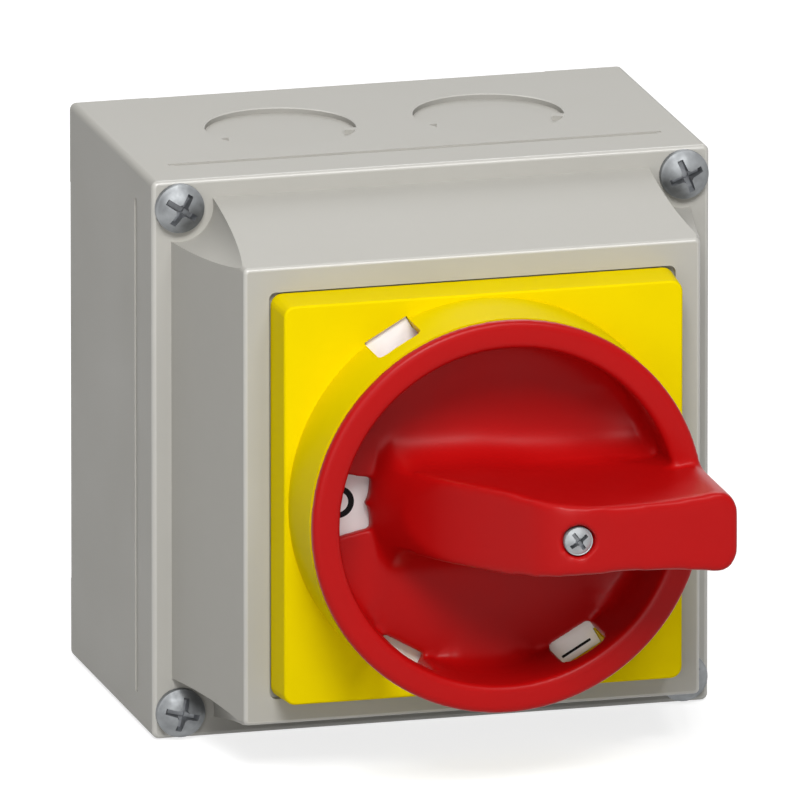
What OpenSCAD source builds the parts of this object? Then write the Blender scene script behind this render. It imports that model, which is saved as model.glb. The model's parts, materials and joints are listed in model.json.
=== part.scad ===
// Enclosed rotary isolator switch: wall box, front plate, dished handle and a three-pole switch block.
// Millimetres. Modelled in a wall frame (x right, y up, z out of the wall) and stood up at the end.

/* [Box] */
// Width and height of the square box
box_w = 82; // [80:1:100]
// Depth of the base, from the wall to the joint with the cover
base_d = 38.4; // [36:0.2:48]
// Wall thickness of base and cover
wall = 2.6; // [2.2:0.1:3.2]
// Radius of the long outer edges
edge_r = 1; // [0.5:0.1:2]
// Size of the solid corner posts
post_w = 8.5; // [8:0.1:10]
// Distance of the cover screws from the outer faces
screw_inset = 3.9; // [3.8:0.1:4.6]
// Diameter of the cable knockouts
knockout_dia = 21.6; // [16:0.2:24]
// Depth of the knockout recess
knockout_recess = 0.8; // [0.4:0.1:1.4]
// Distance of the knockouts from the middle of the face
knockout_x = 15.35; // [13:0.05:18]
// Distance of the knockouts from the wall
knockout_z = 21.2; // [16:0.2:24]
// Relief of the rear edge between the corner feet
foot_relief = 0.7; // [0.3:0.1:1.2]
// Length of each corner foot
foot_len = 11.6; // [8:0.2:16]
// Spacing of the wall fixing holes
fixing_pitch = 58; // [56:1:60]
// Diameter of the wall fixing holes
fixing_dia = 4.5; // [3.5:0.1:5.5]

/* [Cover] */
// Depth of the straight flange of the cover
flange_d = 8.6; // [7:0.2:12]
// Height of the raised front above the flange
front_d = 22.6; // [20:0.2:28]
// Width of the raised front where it leaves the flange
raised_w = 76.4; // [75:0.2:78]
// Width of the flat front
plateau_w = 66.8; // [65:0.2:70]
// Radius of the scooped corner round each cover screw
scoop_r = 5.1; // [4.8:0.1:5.6]
// Thickness of the front wall
front_wall = 3.6; // [3.2:0.1:5]
// Depth of the square recess for the plate
plate_recess = 1; // [0.6:0.1:1.6]
// Width of the shadow line at the joint
seam_h = 0.5; // [0.3:0.1:0.8]
// Depth of the shadow line at the joint
seam_d = 0.4; // [0.2:0.1:0.6]
// Width of the seal in the joint
seal_w = 1.2; // [0.8:0.1:1.3]
// Height of the seal in the joint
seal_h = 1.4; // [1:0.1:2]

/* [Plate] */
// Width of the square front plate
plate_w = 59.2; // [58.6:0.2:62]
// Draft of each side of the plate
plate_draft = 0.4; // [0.2:0.1:0.6]
// Corner radius of the plate
plate_r = 1.7; // [1.2:0.1:3]
// Height of the plate above its seal
plate_d = 6.3; // [5.6:0.1:8]
// Thickness of the flat seal under the plate
plate_seal = 0.8; // [0.5:0.1:1.2]
// Outer diameter of the collar
collar_dia = 57.3; // [57.1:0.1:58.2]
// Height of the collar above the plate
collar_d = 11.8; // [11:0.1:14]
// Width of the padlock slots
slot_w = 7.1; // [5.5:0.1:7.6]
// Height of the padlock slots in the collar
slot_h = 8; // [5.5:0.1:8.4]
// Radius of the front corners of the collar slots
slot_r = 1.5; // [0.5:0.1:2]
// Spacing of the plate screws
plate_pitch = 46; // [42:0.5:48]
// Thickness of the dial
dial_t = 0.8; // [0.5:0.1:1.2]

/* [Handle] */
// Outer diameter of the ring
ring_dia = 57.4; // [57:0.1:59]
// Inner diameter of the bowl
bowl_dia = 49.2; // [48.6:0.1:50]
// Thickness of the bowl wall
bowl_wall = 1.9; // [1.5:0.1:2.1]
// Thickness of the ring's lip over the collar
lip_t = 1.8; // [1.4:0.1:2.4]
// Radius of the ring's front edges
lip_r = 0.8; // [0.4:0.1:0.8]
// Thickness of the bowl floor
floor_t = 1.8; // [1.4:0.1:2]
// Height of the grip above the ring
grip_d = 15.3; // [12:0.1:20]
// Reach of the grip from the axis
grip_reach = 29.35; // [29:0.05:32]
// Width of the grip at its waist
grip_waist = 9.8; // [9.4:0.1:12]
// Width of the grip at its root
grip_root = 12.4; // [11:0.1:13]
// Place of the waist along the grip
waist_x = 13; // [10:0.5:18]
// Radius of the long sweep of the grip's sides
waist_sweep = 94; // [80:1:140]
// Radius of the scoop at the foot of the grip
foot_scoop = 5.8; // [5:0.1:8]
// Radius of the grip's end corners
grip_r = 2.2; // [1:0.1:3]
// Radius of the hub's foot on the bowl floor
hub_foot_r = 17.15; // [16.5:0.05:18]
// Half angle of the dial window
window_half = 12.4; // [8:0.2:14]
// Distance of the handle screw from the axis
grip_screw_x = 6.15; // [5:0.05:7]
// Head diameter of the handle screw
grip_screw_head = 4.4; // [4:0.1:5]
// Turn from O to I, in degrees
travel = 90; // [60:30:90]

/* [Switch block] */
// Width of the square decks
deck_w = 44; // [43:0.5:46]
// Thickness of each contact deck
deck_t = 9; // [8.8:0.1:10]
// Height of the bosses under the block
boss_h = 5; // [4:0.2:5.4]
// Thickness of the block's rear plate
rear_t = 3; // [2.4:0.1:3.4]
// Height of the block's rear plate
rear_h = 62; // [61:0.5:64]
// Thickness of the index housing
index_t = 10; // [9.5:0.1:11]
// Width across the square shaft
shaft_w = 6; // [5.5:0.1:6.5]
// Radius of the contact rotors
rotor_r = 13.9; // [13.5:0.1:14.2]
// Thickness of the copper contacts
copper_t = 1.2; // [0.8:0.1:1.4]

/* [Fits] */
// Running clearance of the turning pieces, on the radius
run_gap = 0.05; // [0.03:0.01:0.1]
// Clearance of seated pieces, on each side
seat_gap = 0.1; // [0.05:0.01:0.2]
// Gap between the handle and the collar and plate
handle_gap = 0.3; // [0.2:0.05:0.5]

/* [Hidden] */
$fn = 64;
eps = 0.01;
grey = [0.72, 0.71, 0.68];
yellow = [0.95, 0.85, 0];
red = [0.72, 0.08, 0.08];
black = [0.13, 0.13, 0.14];
zinc = [0.62, 0.65, 0.67];
copper = [0.75, 0.45, 0.28];
brass = [0.8, 0.66, 0.34];
white = [0.93, 0.93, 0.9];
rubber = [0.16, 0.16, 0.16];
nylon = [0.3, 0.31, 0.33];

// Heights above the wall
flange_z = base_d + flange_d;
plateau_z = flange_z + front_d;
cover_in_z = plateau_z - front_wall;
recess_z = plateau_z - plate_recess;
plate_z0 = recess_z + plate_seal;
plate_z = plate_z0 + plate_d;
dial_drop = 0.7;
dial_z = plate_z - dial_drop;
seat_z = dial_z - dial_t;
bowl_z0 = dial_z + handle_gap + seat_gap;
bowl_z = bowl_z0 + floor_t;
collar_z = plate_z + collar_d;
lip_z = collar_z + handle_gap;
ring_z = lip_z + lip_t;
grip_z = ring_z + grip_d;

// Radii about the handle axis
ring_r = ring_dia / 2;
bowl_r = bowl_dia / 2;
bowl_out_r = bowl_r + bowl_wall;
collar_r = collar_dia / 2;
collar_in_r = bowl_out_r + handle_gap;
journal_r = 11;
seal_sec = 1.8;

// Box layout
half = box_w / 2;
inner = half - wall;
post_in = half - post_w;
screw_xy = half - screw_inset;
fixing_xy = fixing_pitch / 2;

// Cover screw: pan head on the flange, shank down into the post
cs_head_r = 3.6;
cs_head_h = 2.4;
cs_shank_r = 1.75;
cs_len = 22;

// Switch block stack
block_z = wall + boss_h;
deck_z0 = block_z + rear_t;
deck_n = 3;
index_z = deck_z0 + deck_n * deck_t;
block_top = index_z + index_t;
deck_floor = 1.2;
cavity_r = rotor_r + seat_gap;
tie_xy = deck_w / 2 - 3.5;
tie_r = 1.5;
tie_head_r = 2.75;
tie_head_h = 2;
tie_nut_h = 2.4;
block_screw_x = 15;
block_screw_y = rear_h / 2 - 4;
block_screw_r = 1.5;
block_screw_head_r = 2.8;
block_screw_head_h = 2;
boss_r = 3.8;

// Terminal layout inside a deck, measured from the rotor outwards
tip_y = rotor_r + run_gap;
stem_w = 6;
stem_z = 2.4;
lug_t = 1.4;
lug_w = 7;
head_in = 1;
clamp_t = 1;
term_head_h = 2;
term_head_r = 2.6;
term_r = 1.5;
face_y = deck_w / 2;
clamp_y = face_y - head_in - clamp_t;
lug_y = clamp_y - lug_t;
term_z = (stem_z + copper_t + deck_t) / 2 - 0.2;
chamber_y = lug_y - 2;
core_r = shaft_w / sqrt(2) + 1;
eye_r = core_r + 2.2;

// Index mechanism
wheel_r = 11.5;
wheel_t = 5;
wheel_z = index_z + 1.5;
nose_r = 1.6;
nose_in = 0.9;
leaf_t = 0.5;
leaf_x = wheel_r + nose_r - nose_in;
leaf_len = 28;
index_cavity_r = 15.2;
stop_r = 1.2;
stop_path_r = 13;
lug_half = 10;
index_lid = 1.5;
lug_mid = 225;
stop_lead = asin(stop_r / stop_path_r) + 0.6;

// Drive hub
hub_tail_r = 6.5;
hub_tail_len = 10;
hub_tail_z = cover_in_z - hub_tail_len;
clip_t = 1.2;
clip_gap = 0.1;
clip_z = cover_in_z - clip_gap - clip_t;
clip_r = journal_r + 2.4;
journal_tail = 1.6;
groove_r = journal_r - 1.4;
flange_r = journal_r + 1.5;
flange_gap = 0.1;
peg_x0 = -8;
peg_x1 = 10;
peg_w = 6;
peg_z = bowl_z + 7;
shaft_z0 = block_z + 0.6;
shaft_z1 = seat_z - 2;

// Plate screws, driven from inside the cover
ps_r = 1.5;
ps_head_r = 2.8;
ps_head_h = 2;
ps_depth = 4.4;
ps_spare = 0.4;

// Handle screw, sunk in the grip
gs_r = 1.4;
gs_head_h = 1.5;
gs_grip = 6;
gs_sink = 0.3;

// Grip: the ramp from the bowl floor and the rounded shoulder
ramp_angle = 51.5;
shoulder_r = 10;
shoulder_x = 3;
grip_flare = 1.1;
plan_x0 = -4;
hub_lead = 0.5;

// Window and slots of the handle
slot_in = 0.4;
handle_slot_h = slot_h + 2.4;
handle_slot_r = 2;
pointer_len = 0.7;
pointer_w = 0.6;

// Dial tabs under the padlock slots
tab_over = 0.2;
slit_r = 27.4;
slit_w = 0.4;
slit_len = 4.8;

// Cover details
recess_r = 1;
seam_end = 5.5;
seam_half = half - seam_end;
seal_inset = 0.5;

// Bridges that hold the knockout discs
bridge_angles = [-18, 198];
bridge_len = 1.6;
bridge_w = 1.4;
bridge_sink = 0.15;

// Protective-earth terminal in the side wiring space
earth_w = 9;
earth_h = 14;
earth_gap = 2.5;
earth_pad = 4;
earth_t = 6;
earth_screw_r = 1.5;
earth_head_r = 2.8;
earth_head_h = 2;
earth_grip = 3.4;
earth_hole_y = 4;
earth_hole_r = 1.4;
earth_x = -(inner - earth_gap - earth_w / 2);
earth_y = 0;
earth_z = wall + earth_pad;

slot_angles = [120, 240, 300];
slit_angles = [300];
corners = [[1, 1], [-1, 1], [-1, -1], [1, -1]];

// Shared shapes
module wall_frame() { rotate([90, 0, 0]) children(); }

module round_square(w, h, r) {
    square([w, h - 2 * r], center = true);
    square([w - 2 * r, h], center = true);
    for (c = corners) translate([c[0] * (w / 2 - r), c[1] * (h / 2 - r)]) circle(r);
}

// Square block between two heights
module slab(w, h, z0, z1) { translate([-w / 2, -h / 2, z0]) cube([w, h, z1 - z0]); }

// Cylinder between two heights
module rod(r, z0, z1) { translate([0, 0, z0]) cylinder(r = r, h = z1 - z0); }

// Cross-shaped outline inside the corner posts, grown by a margin
module post_cross(grow, z0, z1) {
    slab(2 * (inner + grow), 2 * (post_in + grow), z0, z1);
    slab(2 * (post_in + grow), 2 * (inner + grow), z0, z1);
}

module at_corners(xy) { for (c = corners) translate([c[0] * xy, c[1] * xy, 0]) children(); }

// Tapered block: two trapezoid prisms crossed
module frustum(w0, w1, z0, z1) {
    intersection() {
        rotate([90, 0, 0]) trapezoid(w0, w1, z0, z1, w0);
        rotate([90, 0, 90]) trapezoid(w0, w1, z0, z1, w0);
    }
}

module trapezoid(w0, w1, z0, z1, depth) {
    linear_extrude(depth, center = true)
        polygon([[-w0 / 2, z0], [w0 / 2, z0], [w1 / 2, z1], [-w1 / 2, z1]]);
}

// Screw with a straight head: head from z upwards, shank below
module screw(head_r, head_h, shank_r, len) {
    cylinder(r = head_r, h = head_h);
    translate([0, 0, -len]) cylinder(r = shank_r, h = len + eps);
}

// Pan head: a short cylinder under a shallow dome, with a cross recess
module pan_screw(head_r, head_h, shank_r, len) {
    rim = head_h * 0.4;
    dome = head_h - rim;
    dome_r = (head_r * head_r + dome * dome) / (2 * dome);
    recess_w = head_r * 0.28;
    difference() {
        union() {
            intersection() {
                cylinder(r = head_r, h = head_h);
                translate([0, 0, head_h - dome_r]) sphere(dome_r);
            }
            translate([0, 0, -len]) cylinder(r = shank_r, h = len + eps);
        }
        for (a = [0, 90]) rotate(a)
            translate([-head_r * 0.6, -recess_w / 2, head_h * 0.5])
                cube([head_r * 1.2, recess_w, head_h]);
    }
}

// Box
module base() {
    color(grey) wall_frame() difference() {
        union() {
            difference() {
                linear_extrude(base_d) round_square(box_w, box_w, edge_r);
                post_cross(0, wall, base_d + 1);
            }
            for (c = corners) translate([c[0] * block_screw_x, c[1] * block_screw_y, 0])
                rod(boss_r, wall - 0.5, block_z);
            translate([earth_x, earth_y, 0]) slab(earth_w, earth_h, wall - 0.5, earth_z);
        }
        at_corners(screw_xy) rod(cs_shank_r + seat_gap, flange_z - cs_len - 1, base_d + 1);
        at_corners(fixing_xy) rod(fixing_dia / 2, -1, wall + 1);
        for (c = corners) translate([c[0] * block_screw_x, c[1] * block_screw_y, 0])
            rod(block_screw_r + run_gap, 1, block_z + 1);
        for (a = [0, 180], s = [-1, 1]) rotate(a)
            translate([s * knockout_x, half - knockout_recess, knockout_z]) rotate([-90, 0, 0]) knockout();
        for (a = [0 : 90 : 270]) rotate(a)
            translate([-half + foot_len, half - wall / 2, -1])
                cube([box_w - 2 * foot_len, wall, foot_relief + 1]);
        translate([earth_x, earth_y, 0]) rod(earth_screw_r + run_gap, wall, earth_z + 1);
    }
}

// Sunk disc of a knockout, less the two bridges that hold it
module knockout() {
    difference() {
        cylinder(d = knockout_dia, h = knockout_recess + 1);
        for (a = bridge_angles) rotate(a)
            translate([knockout_dia / 2 - bridge_len, -bridge_w / 2, -1])
                cube([bridge_len + 1, bridge_w, knockout_recess + 1 - bridge_sink]);
    }
}

module cover() {
    column_r = scoop_r + wall - 0.4;
    taper = (raised_w - plateau_w) / 2 / front_d;
    in_w0 = raised_w - 2 * wall + 2 * taper * front_wall;
    in_w1 = plateau_w - 2 * wall + 2 * taper * front_wall;
    color(grey) wall_frame() difference() {
        union() {
            translate([0, 0, base_d]) linear_extrude(flange_d) round_square(box_w, box_w, edge_r);
            frustum(raised_w, plateau_w, flange_z - eps, plateau_z);
        }
        difference() {
            union() {
                slab(in_w0, in_w0, base_d - 1, flange_z - wall + 1);
                frustum(in_w0, in_w1, flange_z - wall, cover_in_z);
            }
            at_corners(screw_xy) rod(column_r, base_d - 2, plateau_z);
        }
        at_corners(screw_xy) rod(scoop_r, flange_z, plateau_z + 1);
        at_corners(screw_xy) rod(cs_shank_r + seat_gap, base_d - 1, flange_z + 1);
        translate([0, 0, recess_z]) linear_extrude(plate_recess + 1)
            round_square(plate_w + 4 * seat_gap, plate_w + 4 * seat_gap, recess_r);
        rod(journal_r + 1, cover_in_z - 1, plateau_z);
        at_corners(plate_pitch / 2) rod(ps_r + seat_gap, cover_in_z - 1, plateau_z);
        seal_path(base_d - 1, base_d + seal_h, 0);
        for (a = [0 : 90 : 270]) rotate(a)
            translate([-seam_half, half - seam_d, base_d - 1]) cube([2 * seam_half, seam_d + 1, seam_h + 1]);
    }
}

// Closed path of the joint seal, inside the cover screws
module seal_path(z0, z1, slack) {
    difference() {
        post_cross(seal_inset + seal_w - slack, z0, z1);
        post_cross(seal_inset + slack, z0 - 1, z1 + 1);
    }
}

module cover_gasket() { color(rubber) wall_frame() seal_path(base_d, base_d + seal_h, run_gap); }

module cover_screws() {
    color(zinc) wall_frame() at_corners(screw_xy) translate([0, 0, flange_z])
        pan_screw(cs_head_r, cs_head_h, cs_shank_r, cs_len);
}

// Front plate, its seal, screws and dial
module front_plate() {
    color(yellow) wall_frame() difference() {
        union() {
            intersection() {
                translate([0, 0, plate_z0]) linear_extrude(plate_d) round_square(plate_w, plate_w, plate_r);
                frustum(plate_w, plate_w - 2 * plate_draft, plate_z0, plate_z);
            }
            rod(collar_r, plate_z - 1, collar_z);
        }
        rod(collar_in_r, seat_z, collar_z + 1);
        rod(journal_r, plate_z0 - 1, plate_z);
        rod(journal_r + seal_sec + seat_gap, plate_z0 - 1, plate_z0 + seal_sec);
        at_corners(plate_pitch / 2) rod(ps_r + run_gap, plate_z0 - 1, plate_z0 + ps_depth);
        for (a = slot_angles) rotate(a) translate([collar_in_r - 1, 0, 0])
            slot(seat_z, plate_z + slot_h, slot_r, collar_r - collar_in_r + 1 + tab_over);
    }
}

// Radial slot with rounded front corners
module slot(z0, z1, r, len) {
    rotate([90, 0, 90]) linear_extrude(len) {
        translate([-slot_w / 2, z0]) square([slot_w, z1 - r - z0]);
        translate([-slot_w / 2 + r, z0]) square([slot_w - 2 * r, z1 - z0]);
        for (s = [-1, 1]) translate([s * (slot_w / 2 - r), z1 - r]) circle(r);
    }
}

module plate_gasket() {
    color(rubber) wall_frame() difference() {
        slab(plate_w - 2, plate_w - 2, recess_z, plate_z0);
        rod(journal_r + 3, recess_z - 1, plate_z0 + 1);
        at_corners(plate_pitch / 2) rod(ps_r + seat_gap, recess_z - 1, plate_z0 + 1);
    }
}

module plate_screws() {
    color(zinc) wall_frame() at_corners(plate_pitch / 2) translate([0, 0, cover_in_z]) rotate([180, 0, 0])
        screw(ps_head_r, ps_head_h, ps_r, plate_z0 + ps_depth - ps_spare - cover_in_z);
}

module dial() {
    color(white) wall_frame() difference() {
        union() {
            rod(collar_in_r - seat_gap, seat_z, dial_z);
            for (a = slot_angles) rotate(a)
                translate([0, -slot_w / 2 + seat_gap, seat_z])
                    cube([collar_r + tab_over - run_gap, slot_w - 2 * seat_gap, dial_t]);
        }
        rod(flange_r + 0.5, seat_z - 1, dial_z + 1);
        for (a = slit_angles) rotate(a)
            translate([slit_r, -slit_len / 2, seat_z - 1]) cube([slit_w, slit_len, dial_t + 2]);
    }
}

// Handle
module handle() {
    color(red) wall_frame() difference() {
        union() {
            handle_cup();
            difference() {
                grip_block();
                for (s = [-1, 1]) grip_scoop(s);
            }
        }
        for (a = slot_angles) rotate(a) translate([bowl_r - slot_in, 0, 0])
            slot(bowl_z0 - 1, plate_z + handle_slot_h, handle_slot_r, bowl_wall + 1);
        window();
        translate([peg_x0 - seat_gap, -peg_w / 2 - seat_gap, bowl_z0 - 1])
            cube([peg_x1 - peg_x0 + 2 * seat_gap, peg_w + 2 * seat_gap, peg_z + seat_gap - bowl_z0 + 1]);
        translate([grip_screw_x, 0, 0]) {
            rod(gs_r + seat_gap, peg_z - 1, grip_z + 1);
            rod(grip_screw_head / 2 + 0.15, grip_z - gs_head_h - gs_sink, grip_z + 1);
        }
    }
}

// Revolved cup: floor, wall and the ring with rounded front edges
module handle_cup() {
    rotate_extrude() {
        translate([0, bowl_z0]) square([bowl_out_r, floor_t]);
        translate([bowl_r, bowl_z0]) square([bowl_wall, ring_z - lip_r - bowl_z0]);
        translate([bowl_r, lip_z]) square([ring_r - bowl_r, lip_t - lip_r]);
        translate([bowl_r + lip_r, ring_z - 2 * lip_r]) square([ring_r - bowl_r - 2 * lip_r, 2 * lip_r]);
        for (r = [bowl_r + lip_r, ring_r - lip_r]) translate([r, ring_z - lip_r]) circle(lip_r);
    }
}

// Side outline of the grip: a ramp from the bowl floor, a rounded shoulder and the flat front
module grip_side() {
    tangent = shoulder_r * tan(ramp_angle / 2);
    low = grip_z - bowl_z0;
    polygon([
        [shoulder_x - low / tan(ramp_angle), bowl_z0],
        [shoulder_x - tangent * cos(ramp_angle), grip_z - tangent * sin(ramp_angle)],
        [shoulder_x + tangent, grip_z],
        [grip_reach, grip_z],
        [grip_reach, bowl_z0]]);
    translate([shoulder_x + tangent, grip_z - shoulder_r]) circle(shoulder_r);
}

module grip_block() {
    spread = grip_waist / 2 + foot_scoop + 1;
    intersection() {
        rotate([90, 0, 0]) linear_extrude(2 * spread, center = true) grip_side();
        union() {
            translate([0, 0, bowl_z0]) cylinder(r1 = hub_foot_r + hub_lead * floor_t,
                r2 = hub_foot_r - hub_lead * (grip_z - bowl_z), h = grip_z - bowl_z0);
            intersection() {
                rod(bowl_r + 0.5, bowl_z0, ring_z - lip_r);
                translate([0, -spread, bowl_z0]) cube([grip_reach, 2 * spread, grip_z]);
            }
            translate([0, 0, lip_z]) linear_extrude(grip_z - lip_z) grip_plan();
        }
    }
}

// Plan of the grip above the ring, with rounded end corners
module grip_plan() {
    end_half = grip_waist / 2 + grip_flare;
    translate([plan_x0, -end_half]) square([grip_reach - grip_r - plan_x0, 2 * end_half]);
    translate([plan_x0, -end_half + grip_r]) square([grip_reach - plan_x0, 2 * (end_half - grip_r)]);
    for (s = [-1, 1]) translate([grip_reach - grip_r, s * (end_half - grip_r)]) circle(grip_r);
}

// Scooped channel beside the grip: straight along the grip, and swept in at the waist
module grip_scoop(side) {
    reach = 2 * ring_r;
    translate([waist_x, side * (grip_waist / 2 + waist_sweep), 0]) rotate_extrude($fn = 180)
        scoop_profile(waist_sweep);
    translate([-ring_r, side * (grip_root / 2 + reach), 0]) rotate([90, 0, 90]) linear_extrude(2 * reach)
        mirror([side < 0 ? 0 : 1, 0]) scoop_profile(reach);
}

// Half section of the channel, with its rounded foot at the given reach
module scoop_profile(reach) {
    translate([0, bowl_z + foot_scoop]) square([reach, grip_z - bowl_z]);
    translate([0, bowl_z]) square([reach - foot_scoop, grip_z - bowl_z]);
    translate([reach - foot_scoop, bowl_z + foot_scoop]) circle(foot_scoop);
}

// Dial window through the bowl floor, with a small pointer left in its inner edge
module window() {
    difference() {
        rotate(180 - window_half) rotate_extrude(angle = 2 * window_half)
            translate([hub_foot_r, bowl_z0 - 1]) square([bowl_r - slot_in - hub_foot_r, floor_t + 1 + eps]);
        translate([-hub_foot_r - pointer_len, -pointer_w / 2, bowl_z0])
            cube([pointer_len + 1, pointer_w, floor_t]);
    }
}

module handle_screw() {
    color(zinc) wall_frame() translate([grip_screw_x, 0, grip_z - gs_head_h - gs_sink])
        pan_screw(grip_screw_head / 2, gs_head_h, gs_r, grip_z - gs_head_h - gs_sink - peg_z + gs_grip);
}

// Drive hub, its seal and clip, and the square shaft
module drive_hub() {
    color(black) wall_frame() difference() {
        union() {
            rod(hub_tail_r, hub_tail_z, seat_z);
            rod(journal_r - run_gap, clip_z - journal_tail, seat_z + flange_gap + eps);
            rod(flange_r, seat_z + flange_gap, bowl_z0);
            translate([peg_x0, -peg_w / 2, bowl_z0 - 1])
                cube([peg_x1 - peg_x0, peg_w, peg_z - bowl_z0 + 1]);
        }
        difference() {
            rod(journal_r + 1, clip_z, clip_z + clip_t);
            rod(groove_r, clip_z - 1, clip_z + clip_t + 1);
        }
        slab(shaft_w + 2 * run_gap, shaft_w + 2 * run_gap, hub_tail_z - 1, shaft_z1 + seat_gap);
        translate([grip_screw_x, 0, 0]) rod(gs_r + run_gap, peg_z - gs_grip - 1, peg_z + 1);
    }
}

module hub_seal() {
    sec = seal_sec / 2;
    color(rubber) wall_frame() translate([0, 0, plate_z0 + sec]) rotate_extrude()
        translate([journal_r + sec, 0]) circle(sec - run_gap);
}

module hub_clip() {
    color(zinc) wall_frame() difference() {
        rod(clip_r, clip_z + run_gap, clip_z + clip_t - run_gap);
        rod(groove_r + run_gap, clip_z - 1, clip_z + clip_t + 1);
        translate([0, -groove_r * 0.7, clip_z - 1]) cube([clip_r + 1, groove_r * 1.4, clip_t + 2]);
    }
}

module shaft() { color(zinc) wall_frame() slab(shaft_w, shaft_w, shaft_z0, shaft_z1); }

// Switch block
module rear_plate() {
    color(nylon) wall_frame() difference() {
        slab(deck_w, rear_h, block_z, deck_z0);
        for (c = corners) translate([c[0] * block_screw_x, c[1] * block_screw_y, 0])
            rod(block_screw_r + seat_gap, block_z - 1, deck_z0 + 1);
        tie_holes(block_z - 1, deck_z0 + 1);
        rod(shaft_w / sqrt(2) + 0.4, block_z + 0.5, deck_z0 + 1);
    }
}

module tie_holes(z0, z1) {
    for (s = [-1, 1]) translate([s * tie_xy, s * tie_xy, 0]) rod(tie_r + seat_gap, z0, z1);
}

module contact_deck(i) {
    z = deck_z0 + i * deck_t;
    color(nylon) wall_frame() difference() {
        slab(deck_w, deck_w, z, z + deck_t);
        rod(cavity_r, z + deck_floor, z + deck_t + 1);
        rod(shaft_w / sqrt(2) + 0.4, z - 1, z + deck_t);
        tie_holes(z - 1, z + deck_t + 1);
        for (a = [0, 180]) rotate(a) {
            translate([-stem_w / 2 - seat_gap, 0, z + stem_z - seat_gap])
                cube([stem_w + 2 * seat_gap, chamber_y + 1, deck_t]);
            translate([-lug_w / 2 - seat_gap, chamber_y, z + deck_floor + 0.6])
                cube([lug_w + 2 * seat_gap, face_y, deck_t]);
        }
    }
}

module rotor(i) {
    z = deck_z0 + i * deck_t;
    color(black) wall_frame() difference() {
        rod(rotor_r, z + deck_floor + seat_gap, z + deck_t - seat_gap);
        slab(shaft_w + 2 * run_gap, shaft_w + 2 * run_gap, z, z + deck_t);
        blade(2 * rotor_r + 1, z + stem_z - run_gap, z + stem_z + copper_t + run_gap, run_gap);
    }
}

// Bridge blade with an eye round the insulated core of the rotor
module blade(len, z0, z1, grow) {
    difference() {
        union() {
            slab(len, stem_w + 2 * grow, z0, z1);
            rod(eye_r + grow, z0, z1);
        }
        rod(core_r - grow, z0 - 1, z1 + 1);
    }
}

// The blade stands across the gap at O and joins the two fixed contacts at I
module moving_contact(i) {
    z = deck_z0 + i * deck_t + stem_z;
    color(copper) wall_frame() intersection() {
        blade(2 * rotor_r, z, z + copper_t, 0);
        rod(rotor_r, z - 1, z + copper_t + 1);
    }
}

module fixed_contacts(i) {
    z = deck_z0 + i * deck_t;
    color(copper) wall_frame() for (a = [0, 180]) rotate(a) difference() {
        union() {
            translate([-stem_w / 2, tip_y, z + stem_z]) cube([stem_w, lug_y + lug_t - tip_y, copper_t]);
            translate([-lug_w / 2, lug_y, z + deck_floor + 0.8])
                cube([lug_w, lug_t, deck_t - deck_floor - 1]);
        }
        translate([0, lug_y - 1, z + term_z]) rotate([-90, 0, 0])
            cylinder(r = term_r + run_gap, h = lug_t + 2);
    }
}

module wire_clamps(i) {
    z = deck_z0 + i * deck_t;
    color(brass) wall_frame() for (a = [0, 180]) rotate(a) difference() {
        translate([-lug_w / 2 + 0.2, clamp_y, z + deck_floor + 0.8])
            cube([lug_w - 0.4, clamp_t, deck_t - deck_floor - 1]);
        translate([0, clamp_y - 1, z + term_z]) rotate([-90, 0, 0])
            cylinder(r = term_r + seat_gap, h = clamp_t + 2);
    }
}

module terminal_screws(i) {
    z = deck_z0 + i * deck_t;
    color(zinc) wall_frame() for (a = [0, 180]) rotate(a)
        translate([0, clamp_y + clamp_t, z + term_z]) rotate([-90, 0, 0]) {
            difference() {
                cylinder(r = term_head_r, h = term_head_h);
                translate([-term_head_r, -0.4, term_head_h - 0.8]) cube([2 * term_head_r, 0.8, 1]);
            }
            translate([0, 0, -clamp_t - lug_t - 1]) cylinder(r = term_r, h = clamp_t + lug_t + 1 + eps);
        }
}

// Index mechanism
module index_housing() {
    post = 3;
    color(nylon) wall_frame() {
        difference() {
            slab(deck_w, deck_w, index_z, block_top);
            rod(index_cavity_r, wheel_z - seat_gap, block_top - index_lid);
            rod(shaft_w / sqrt(2) + 0.4, index_z - 1, block_top + 1);
            tie_holes(index_z - 1, block_top + 1);
            translate([leaf_x - seat_gap, -leaf_len / 2 - seat_gap, wheel_z - seat_gap])
                cube([leaf_t + post, leaf_len + 2 * seat_gap, block_top - index_lid - wheel_z + seat_gap]);
        }
        for (a = [lug_mid + lug_half + stop_lead, lug_mid - travel - lug_half - stop_lead]) rotate(a)
            translate([stop_path_r, 0, 0]) rod(stop_r, wheel_z - seat_gap - 0.5, wheel_z + wheel_t);
    }
}

module detent_wheel() {
    color(black) wall_frame() difference() {
        union() {
            rod(wheel_r, wheel_z, wheel_z + wheel_t);
            rotate(lug_mid - lug_half) rotate_extrude(angle = 2 * lug_half)
                translate([wheel_r - 1, wheel_z]) square([stop_path_r + stop_r - wheel_r + 1, wheel_t]);
        }
        slab(shaft_w + 2 * run_gap, shaft_w + 2 * run_gap, index_z, block_top);
        for (a = [0, travel]) rotate(a) translate([leaf_x, 0, 0])
            rod(nose_r + run_gap, wheel_z - 1, wheel_z + wheel_t + 1);
    }
}

// Leaf with a rounded nose that drops into the wheel's notch at O and at I
module detent_spring() {
    color(zinc) wall_frame() difference() {
        union() {
            translate([leaf_x, -leaf_len / 2, wheel_z]) cube([leaf_t, leaf_len, wheel_t]);
            translate([leaf_x, 0, 0]) rod(nose_r, wheel_z, wheel_z + wheel_t);
        }
        translate([leaf_x + leaf_t, -leaf_len, wheel_z - 1]) cube([nose_r + 1, 2 * leaf_len, wheel_t + 2]);
    }
}

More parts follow.
